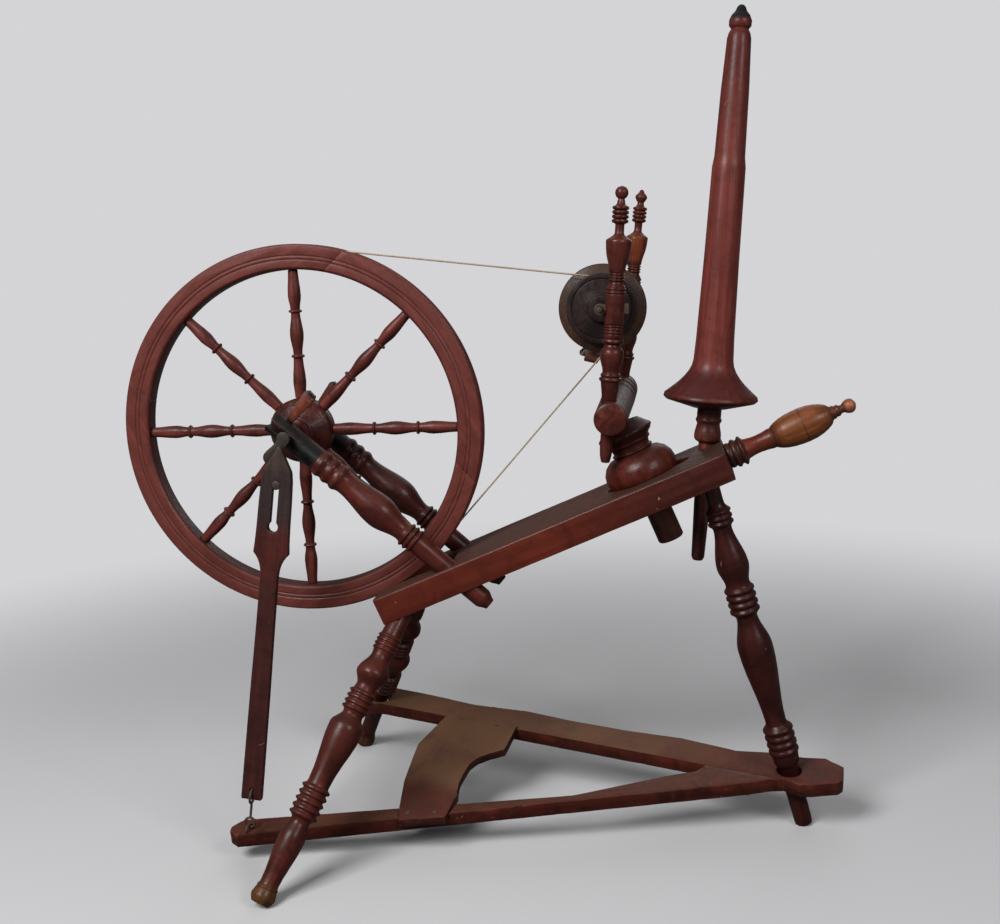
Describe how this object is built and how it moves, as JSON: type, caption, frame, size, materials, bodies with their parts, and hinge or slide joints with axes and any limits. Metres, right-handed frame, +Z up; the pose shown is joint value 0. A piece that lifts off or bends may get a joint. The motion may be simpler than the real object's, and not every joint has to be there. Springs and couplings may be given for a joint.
{
  "type": "flax spinning wheel",
  "caption": "Treadle spinning wheel with a sloping table on turned legs, a spoked drive wheel, a flyer and bobbin between turned maidens, and a tall distaff.",
  "frame": {"origin": "on the floor, under the middle of the overall box", "axes": "+X runs up the table towards the distaff, +Y away from the crank towards the spinner, +Z up"},
  "size_m": [0.9001, 0.5369, 0.9898],
  "materials": {
    "wood_red": "worn stain",
    "wood_dark": "worn stain",
    "wood_black": "dark stain",
    "wood_brown": "worn",
    "wood_worn": "bare and dusty",
    "iron": "forged",
    "hide": "dry",
    "cord": "twisted"
  },
  "bodies": {
    "frame": {"table": "wood_red", "leg_right": "wood_red", "leg_near": "wood_red", "leg_far": "wood_red", "post_near": "wood_red", "post_far": "wood_red", "keeper_near": "wood_red", "keeper_far": "wood_red", "drive_band": "cord"},
    "wheel": {"hub": "wood_red", "axle": "iron", "spoke_1": "wood_red", "spoke_2": "wood_red", "spoke_3": "wood_red", "spoke_4": "wood_red", "spoke_5": "wood_red", "spoke_6": "wood_red", "spoke_7": "wood_red", "spoke_8": "wood_red", "felloe_1": "wood_red", "felloe_2": "wood_red", "felloe_3": "wood_red", "felloe_4": "wood_red"},
    "tension_screw": {"tension_rod": "wood_dark", "tension_handle": "wood_brown"},
    "mother": {"mother_of_all": "wood_red", "moa_collar": "wood_dark", "maiden_near": "wood_red", "maiden_far": "wood_brown", "leather_near": "hide", "leather_far": "hide"},
    "flyer": {"spindle": "iron", "whorl": "wood_black", "flyer": "wood_red", "flyer_hook_row": "iron"},
    "bobbin": {"bobbin": "wood_brown"},
    "treadle": {"treadle_far_bar": "wood_red", "treadle_near_bar": "wood_red", "tread_board": "wood_worn", "treadle_nails": "iron", "treadle_staple": "iron"},
    "footman_hook": {"footman_hook": "iron"},
    "footman": {"footman_board": "wood_red", "crank_pin_end": "iron"},
    "distaff": {"distaff_stem": "wood_red", "distaff_head": "wood_red"}
  },
  "joints": [
    {"name": "wheel_spin", "type": "hinge", "parent": "frame", "child": "wheel", "pos_m": [-0.21983, -0.02187, 0.514], "axis": [0, 1, 0], "continuous": true},
    {"name": "tension_turn", "type": "hinge", "parent": "frame", "child": "tension_screw", "pos_m": [0.30519, -0.02187, 0.46731], "axis": [0.9272, 0, 0.3746], "range_deg": [-1670, 0]},
    {"name": "mother_slide", "type": "slide", "parent": "frame", "child": "mother", "axis": [0.9272, 0, 0.3746], "range_m": [-0.028, 0]},
    {"name": "flyer_spin", "type": "hinge", "parent": "mother", "child": "flyer", "pos_m": [0.16025, -0.02187, 0.64997], "axis": [0, 1, 0], "continuous": true},
    {"name": "bobbin_spin", "type": "hinge", "parent": "flyer", "child": "bobbin", "pos_m": [0.16025, 0.07312, 0.64997], "axis": [0, 1, 0], "continuous": true},
    {"name": "treadle_rock", "type": "hinge", "parent": "frame", "child": "treadle", "pos_m": [-0.19179, 0.15956, 0.091], "axis": [-0.9503, 0.3079, 0.0468], "range_deg": [0, 18.89]},
    {"name": "hook_swing", "type": "hinge", "parent": "treadle", "child": "footman_hook", "pos_m": [-0.28146, -0.15277, 0.04356], "axis": [-0.9503, 0.3079, 0.0468], "range_deg": [-19, 0]},
    {"name": "footman_swing", "type": "hinge", "parent": "footman_hook", "child": "footman", "pos_m": [-0.27521, -0.14855, 0.09127], "axis": [0.0114, -0.9962, 0.0867], "range_deg": [-10, 10]},
    {"name": "distaff_turn", "type": "hinge", "parent": "frame", "child": "distaff", "pos_m": [0.2812, 0.00613, 0.47595], "axis": [0.0958, 0, 0.9954], "continuous": true}
  ],
  "couplings": [
    {"joint": "flyer_spin", "follows": "wheel_spin", "ratio": 6.1781},
    {"joint": "mother_slide", "follows": "tension_turn", "m_per_rad": 0.00095493},
    {"joint": "hook_swing", "follows": "treadle_rock", "ratio": -1}
  ]
}
